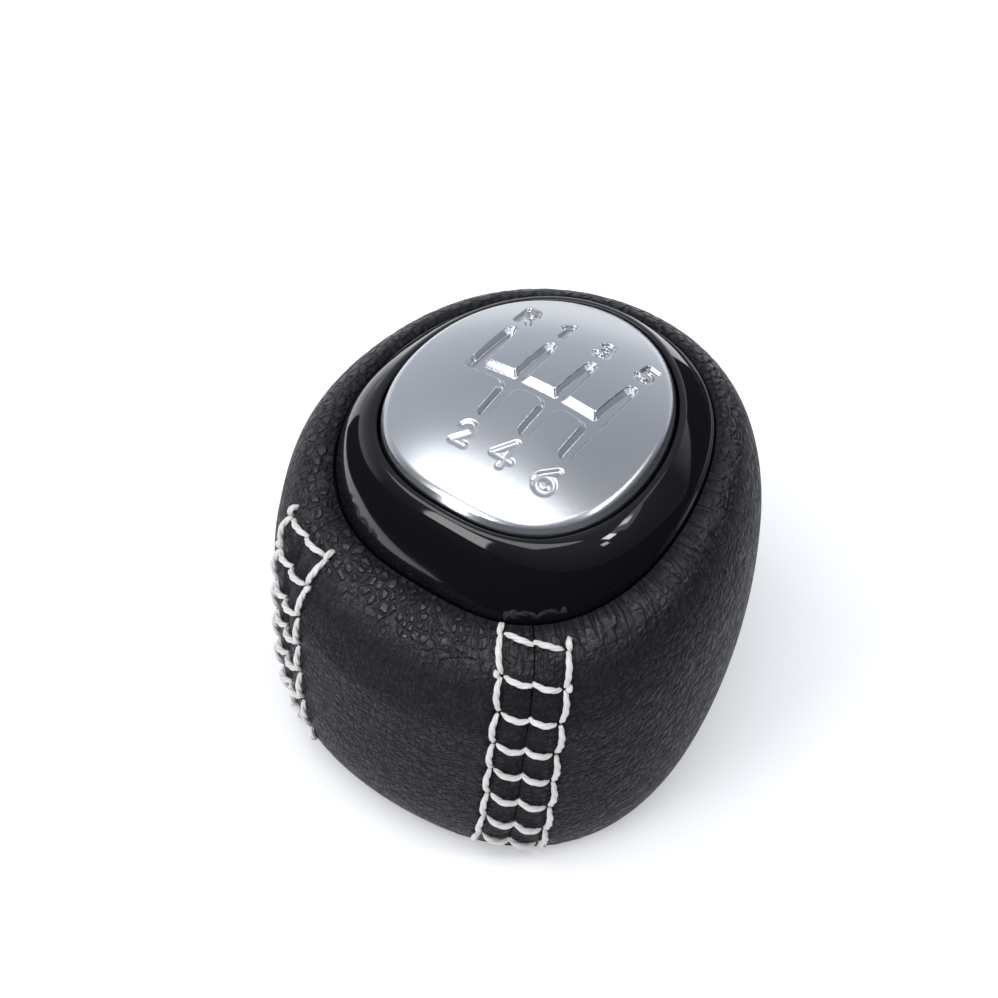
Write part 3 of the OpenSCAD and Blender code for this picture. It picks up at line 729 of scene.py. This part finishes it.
def plateHeight(x, y):
    a, share = np.arctan2(x, y), np.hypot(x, y)
    radius, rim = plateR(a), plateLook["rim"]
    outside = np.clip((share - (radius - rim)) / rim, 0, 1)
    drop = domeZ(radius * np.sin(a), radius * np.cos(a)) - plateLevel(radius * np.cos(a))
    z = domeZ(x, y) - drop * (1 - np.sqrt(1 - outside ** 2 * 0.9999))       # 0.9999 keeps the slope finite
    # The channel's front walls, which face the driver, slope more gently than the others.
    up = y - gate["turn"] * x
    start, full, fading, over = gate["frontWall"]
    near, end = gate["frontWallEnd"]
    gentle = smoothStep(start, full, up) * (1 - smoothStep(fading, over, up))
    gentle *= smoothStep(-end, -near, x) * (1 - smoothStep(near, end, x))
    run = gate["wallRun"] + (gate["frontRun"] - gate["wallRun"]) * gentle
    z = z - gate["depth"] * ramp((gate["wallStart"] - gateDistance(x, y)) / run, gate["rounding"])
    stroke, depth, slope = (np.where(y < marks["rowBorder"], *marks[key])
                            for key in ("stroke", "depth", "slope"))
    t = np.clip(0.5 - (markDistance(x, y) - stroke / 2) / slope, 0, 1)
    return z - depth * t * t * (3 - 2 * t)


def shiftPlate():
    n = plateLook["cells"]
    p, q = np.meshgrid(np.linspace(-1, 1, n + 1), np.linspace(-1, 1, n + 1))
    across, along = p * np.sqrt(1 - q * q / 2), q * np.sqrt(1 - p * p / 2)      # a square becomes a disc
    a, share = np.arctan2(across, along), np.hypot(across, along)
    x, y = share * plateR(a) * np.sin(a), share * plateR(a) * np.cos(a)
    points = np.stack([x, y, plateHeight(x, y)], -1).reshape(-1, 3)
    step = plateLook["normalStep"]
    slopeX = (plateHeight(x + step, y) - plateHeight(x - step, y)) / (2 * step)
    slopeY = (plateHeight(x, y + step) - plateHeight(x, y - step)) / (2 * step)
    normals = np.stack([-slopeX, -slopeY, np.ones_like(x)], -1).reshape(-1, 3)
    edge = share.ravel() > plateLook["rimShare"]
    normals[edge] = np.stack([np.sin(a), np.cos(a), plateLook["rimTilt"] + 0 * a], -1).reshape(-1, 3)[edge]
    normals /= np.linalg.norm(normals, axis=1, keepdims=True)
    row = n + 1
    faces = gridFaces(row, row)
    border = (list(range(n)) + [j * row + n for j in range(n)]
              + [n * row + i for i in range(n, 0, -1)] + [j * row for j in range(n, 0, -1)])
    ring = points[border]
    under = ring.copy()
    under[:, 2] = plateLevel(ring[:, 1]) - plateLook["edge"]
    start, count = len(points), len(border)
    heart = start + count
    points = np.concatenate([points, under, [[0, plateLook["footMiddle"], under[:, 2].mean()]]])
    outward = under * np.array([1, 1, 0])
    outward /= np.linalg.norm(outward, axis=1, keepdims=True)
    normals = np.concatenate([normals, outward, [[0, 0, -1]]])
    for i in range(count):
        after = (i + 1) % count
        faces.append((border[after], border[i], start + i, start + after))
        faces.append((start + after, start + i, heart))
    piece = makePiece("satinShiftPlate", points, faces, aluminium, "shift_plate")
    piece.data.normals_split_custom_set_from_vertices(normals.tolist())


shiftPlate()
print("shift plate pressed")


# Finishes of the pieces that stay as the CAD made them

# Name, colour, roughness, metallic, grains to the metre and their depth in millimetres. Only the edge of
# the base ring shows in the photo; the others have the usual finish of such a part.
keptFinishes = {
    # Foam tape, closed cells: dull black with a fine pitting.
    "plate_pad": ("closedCellFoamTape", "#1b1b1d", 0.85, 0.0, 2500, 0.03),
    # Glass-filled polyamide: a dry dark grey that hardly mirrors.
    "core": ("mouldedPolyamide", "#1a1a1b", 0.55, 0.0, 1500, 0.02),
    # Soft rubber: flat black.
    "damper_sleeve": ("mouldedRubber", "#171718", 0.7, 0.0, 1800, 0.02),
    # Aluminium off the lathe: pale metal with fine turning marks.
    "lever_sleeve": ("turnedAluminium", "#c3c5c9", 0.32, 1.0, 900, 0.006),
    # Drawn spring steel: dark, smooth metal.
    "retaining_ring": ("springSteelWire", "#7c7f84", 0.3, 1.0, 1500, 0.004),
    # ABS from a polished mould: black with a soft gloss.
    "base_ring": ("mouldedAbs", "#0b0b0c", 0.22, 0.0, 600, 0.004),
    # Zinc plate: grey metal, a little cloudy.
    "base_screws": ("zincPlatedSteel", "#8d9094", 0.35, 1.0, 1500, 0.006),
}
for node, (name, *finish) in keptFinishes.items():
    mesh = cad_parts[node].data
    mesh.materials.clear()
    mesh.materials.append(plainFinish(name, *finish))
print("kept pieces finished")


# Table, light and camera

# Metres, watts and world strengths. A light is its place, width, depth and watts. cardInner gives the
# card's distance from the axis in millimetres at some azimuths.
studio = {
    "floorSize": 6.0, "floor": "#eef0f3", "glow": 0.3,
    "horizon": 0.95, "ceiling": 0.6, "nightHorizon": 0.15, "nightCeiling": 0.37,
    "backdropWay": (-0.71, 0.71, 0.0), "aim": (0, 0, 0.045),
    "cardOuter": 2.9, "cardSteps": 71, "cardLift": 0.0004,
    "cardInner": {-98: 84, -60: 80, -36: 66, -15: 54, 20: 50, 60: 50, 100: 50, 125: 54, 150: 72, 185: 80},
    "overheadBox": ((-0.14, -0.31, 0.92), 1.0, 0.66, 6.0),
    "lights": {"tallWindow": ((-0.2, -0.78, 0.33), 0.34, 0.5, 2.8),
               "litBackdrop": ((-0.46, 0.66, 0.2), 1.0, 0.16, 0.2),
               "shopWindow": ((0.5, 0.39, 0.61), 0.4, 0.3, 0.4),
               "shopLamp0": ((0.55, 0.12, 0.6), 0.1, 0.16, 0.8),
               "shopLamp1": ((0.61, 0.0, 0.45), 0.08, 0.09, 0.18),
               "shopLamp2": ((0.5, 0.3, 0.62), 0.05, 0.14, 0.2)},
}


def paintedReflectionCard():
    # Black card on the table, on the photographer's side, that only mirrors see: a painted dark reflection
    # in the bezel's band and the leather's flank.
    material = newMaterial("paintedReflectionBlack", "#050505", 0.95)[0]
    inner = studio["cardInner"]
    azimuths = np.linspace(min(inner), max(inner), studio["cardSteps"])
    reach = np.interp(azimuths, list(inner), list(inner.values())) * mm
    rings = [reach, np.full_like(reach, studio["cardOuter"])]
    points = [(r * math.sin(q), -r * math.cos(q), studio["cardLift"])
              for ring in rings for r, q in zip(ring, np.radians(azimuths))]
    mesh = bpy.data.meshes.new("paintedReflectionCard")
    mesh.from_pydata(points, [], gridFaces(2, len(azimuths)))
    mesh.materials.append(material)
    card = bpy.data.objects.new("paintedReflectionCard", mesh)
    card.visible_camera = False
    card.visible_diffuse = False
    card.visible_shadow = False
    bpy.context.scene.collection.objects.link(card)


def whiteSweep():
    # Matt white paper under the knob. It glows a little for the camera and for mirrors, to be plain white.
    material, tree, shader = newMaterial("whitePaper", studio["floor"], 0.9)
    path = addNode(tree, "LightPath")
    seen = addNode(tree, "Math", {"operation": "MAXIMUM"},
                   {0: path.outputs["Is Camera Ray"], 1: path.outputs["Is Glossy Ray"]})
    seen = addNode(tree, "Math", {"operation": "MAXIMUM"},
                   {0: seen.outputs[0], 1: path.outputs["Is Transmission Ray"]})
    strength = addNode(tree, "Math", {"operation": "MULTIPLY", 1: studio["glow"]}, {0: seen.outputs[0]})
    shader.inputs["Emission Color"].default_value = (1, 1, 1, 1)
    tree.links.new(strength.outputs[0], shader.inputs["Emission Strength"])
    half = studio["floorSize"] / 2
    mesh = bpy.data.meshes.new("whiteSweep")
    corners = [(-half, -half, 0), (half, -half, 0), (half, half, 0), (-half, half, 0)]
    mesh.from_pydata(corners, [], [(0, 1, 2, 3)])
    mesh.materials.append(material)
    sweep = bpy.data.objects.new("whiteSweep", mesh)
    bpy.context.scene.collection.objects.link(sweep)


def studioWorld():
    # A white backdrop stands beyond the knob; overhead and behind the photographer the room is greyer.
    world = bpy.data.worlds.new("studio")
    bpy.context.scene.world = world
    world.use_nodes = True
    tree = world.node_tree
    tree.nodes.clear()
    path = addNode(tree, "LightPath")
    place = addNode(tree, "TexCoord")
    parts = addNode(tree, "SeparateXYZ", links={0: place.outputs["Generated"]})
    bright = addNode(tree, "MapRange", {"From Min": 0.12, "From Max": 0.7, "To Min": studio["horizon"],
                                        "To Max": studio["ceiling"]}, {"Value": parts.outputs["Z"]})
    dark = addNode(tree, "MapRange", {"From Min": 0.0, "From Max": 0.8, "To Min": studio["nightHorizon"],
                                      "To Max": studio["nightCeiling"]}, {"Value": parts.outputs["Z"]})
    toBackdrop = addNode(tree, "VectorMath", {"operation": "DOT_PRODUCT", 1: studio["backdropWay"]},
                         {0: place.outputs["Generated"]})
    side = addNode(tree, "MapRange", {"From Min": 0.05, "From Max": 0.6},
                   {"Value": toBackdrop.outputs["Value"]})
    level = addNode(tree, "Mix", {"data_type": "FLOAT"},
                    {"Factor": side.outputs[0], 2: dark.outputs[0], 3: bright.outputs[0]})
    room = addNode(tree, "Background", {"Color": linear("#e6ebf6")}, {"Strength": level.outputs[0]})
    white = addNode(tree, "Background", {"Color": (1, 1, 1, 1), "Strength": 1.0})
    low = addNode(tree, "MapRange", {"From Min": 0.12, "From Max": 0.3, "To Min": 1.0, "To Max": 0.0},
                  {"Value": parts.outputs["Z"]})
    sheet = addNode(tree, "Math", {"operation": "MULTIPLY"}, {0: low.outputs[0], 1: side.outputs[0]})
    bounced = addNode(tree, "Math", {"operation": "MAXIMUM"},
                      {0: path.outputs["Is Glossy Ray"], 1: path.outputs["Is Transmission Ray"]})
    mirrored = addNode(tree, "Math", {"operation": "MULTIPLY"}, {0: bounced.outputs[0], 1: sheet.outputs[0]})
    seen = addNode(tree, "Math", {"operation": "MAXIMUM"},
                   {0: path.outputs["Is Camera Ray"], 1: mirrored.outputs[0]})
    both = addNode(tree, "MixShader", links={0: seen.outputs[0], 1: room.outputs[0], 2: white.outputs[0]})
    output = addNode(tree, "OutputWorld")
    tree.links.new(both.outputs[0], output.inputs["Surface"])


def softBox(name, position, width, depth, power, aim):
    light = bpy.data.lights.new(name, "AREA")
    light.shape = "RECTANGLE"
    light.size = width
    light.size_y = depth
    light.energy = power
    box = bpy.data.objects.new(name, light)
    box.location = position
    box.rotation_euler = (Vector(aim) - Vector(position)).to_track_quat("-Z", "Y").to_euler()
    box.visible_camera = False
    bpy.context.scene.collection.objects.link(box)


def photographCamera():
    # Fitted to the photo: degrees and millimetres
    shot = {"azimuth": 35.246, "elevation": 50.061, "roll": 1.32, "distance": 768.2,
            "aim": (-3.97, 4.18, 29.48), "lens": 244.04}
    azimuth, elevation, roll = (math.radians(shot[key]) for key in ("azimuth", "elevation", "roll"))
    back = Vector((math.sin(azimuth) * math.cos(elevation), -math.cos(azimuth) * math.cos(elevation),
                   math.sin(elevation)))
    right = Vector((math.cos(azimuth), math.sin(azimuth), 0))
    up = back.cross(right)
    turnedRight = right * math.cos(roll) + up * math.sin(roll)
    turnedUp = up * math.cos(roll) - right * math.sin(roll)
    place = (Vector(shot["aim"]) + back * shot["distance"]) * mm
    data = bpy.data.cameras.new("photographCamera")
    data.lens = shot["lens"]
    data.sensor_width = 36
    data.sensor_fit = "HORIZONTAL"
    data.clip_start = 0.01
    data.clip_end = 20
    camera = bpy.data.objects.new("photographCamera", data)
    turned = Matrix((turnedRight, turnedUp, back)).transposed().to_4x4()
    camera.matrix_world = Matrix.Translation(place) @ turned
    bpy.context.scene.collection.objects.link(camera)
    bpy.context.scene.camera = camera


whiteSweep()
paintedReflectionCard()
studioWorld()
softBox("overheadBox", *studio["overheadBox"], (*studio["overheadBox"][0][:2], 0))
for name, box in studio["lights"].items():
    softBox(name, *box, studio["aim"])
photographCamera()
bpy.context.scene.view_settings.view_transform = "Standard"
print("studio set")
